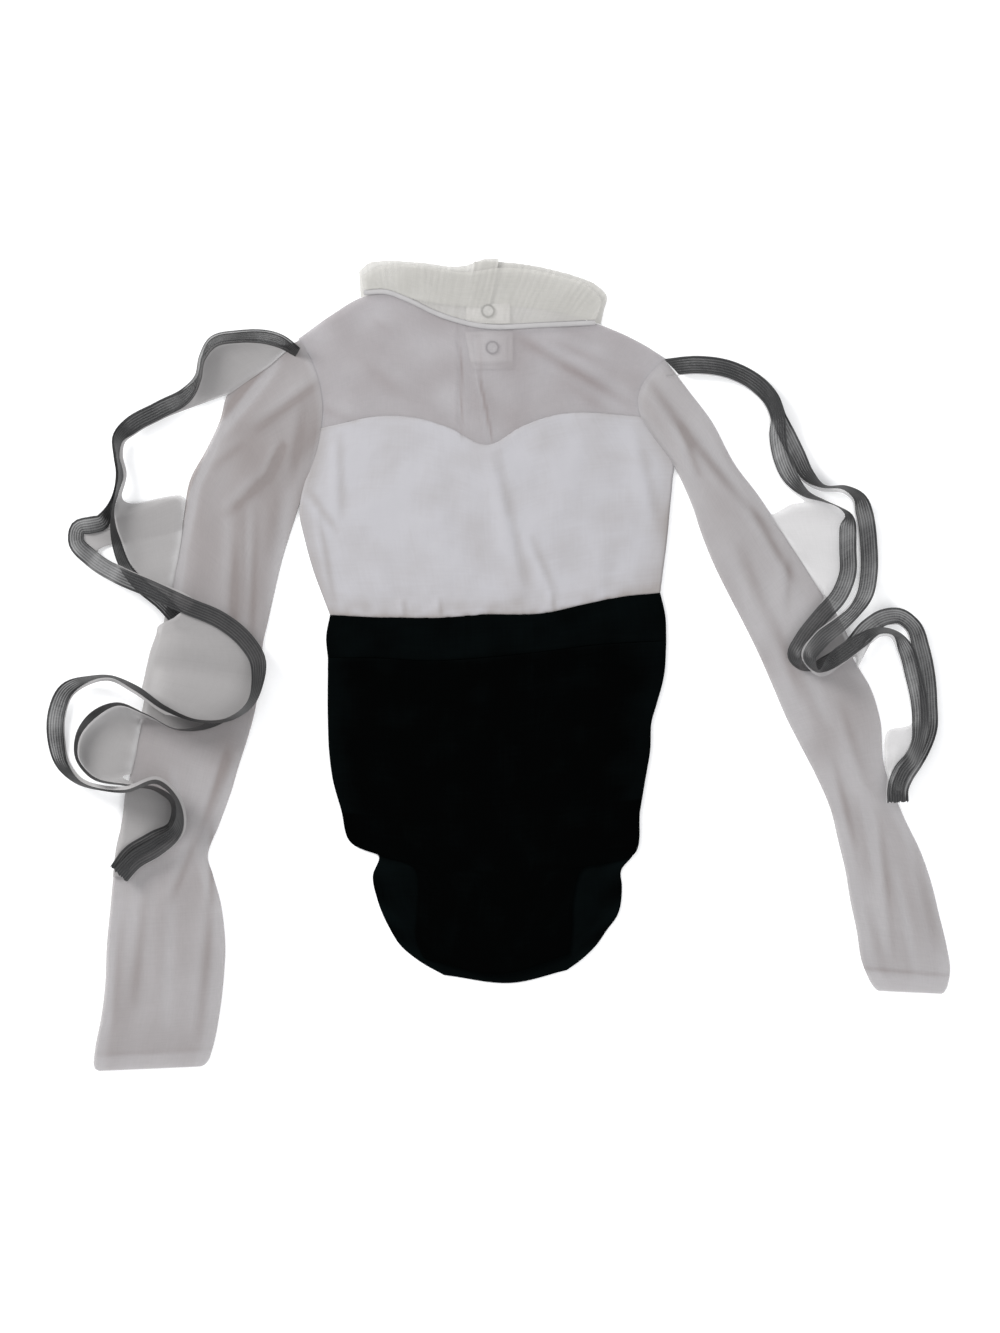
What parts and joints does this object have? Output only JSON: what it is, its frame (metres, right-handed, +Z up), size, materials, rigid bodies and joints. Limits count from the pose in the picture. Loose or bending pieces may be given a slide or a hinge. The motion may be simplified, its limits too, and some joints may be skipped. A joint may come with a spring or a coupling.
{
  "type": "leotard",
  "caption": "Long-sleeved mock-neck leotard laid flat, with a sheer yoke and sleeves, a black brief and braid-edged flounces on the sleeves.",
  "frame": {"origin": "on the surface, under the middle of the garment's bounding box", "axes": "+Z up from the surface, +Y towards the collar, +X towards the sleeve on the right of the front view"},
  "size_m": [0.8128, 0.731, 0.0472],
  "materials": {
    "organza": "sheer white organza",
    "white_knit": "matt opaque stretch knit",
    "black_knit": "matt black stretch knit",
    "horsehair_braid": "stiff grey open-mesh braid",
    "cotton_tape": "white woven tape",
    "snap_metal": "satin ring snap"
  },
  "bodies": {
    "root": {"back_bodice": "white_knit", "back_yoke_left": "organza", "back_yoke_right": "organza", "braid_left_lower": "horsehair_braid", "braid_left_upper": "horsehair_braid", "braid_right_lower": "horsehair_braid", "braid_right_upper": "horsehair_braid", "brief_back": "black_knit", "brief_front": "black_knit", "collar_back_left": "organza", "collar_back_right": "organza", "collar_front": "organza", "flounce_left_lower": "organza", "flounce_left_upper": "organza", "flounce_right_lower": "organza", "flounce_right_upper": "organza", "front_bodice": "white_knit", "front_yoke": "organza", "neck_binding": "cotton_tape", "sleeve_left": "organza", "sleeve_right": "organza", "snap_lower": "snap_metal", "snap_upper": "snap_metal", "tab_lower": "cotton_tape", "tab_upper": "cotton_tape", "waistband_back": "black_knit", "waistband_front": "black_knit"}
  },
  "joints": []
}
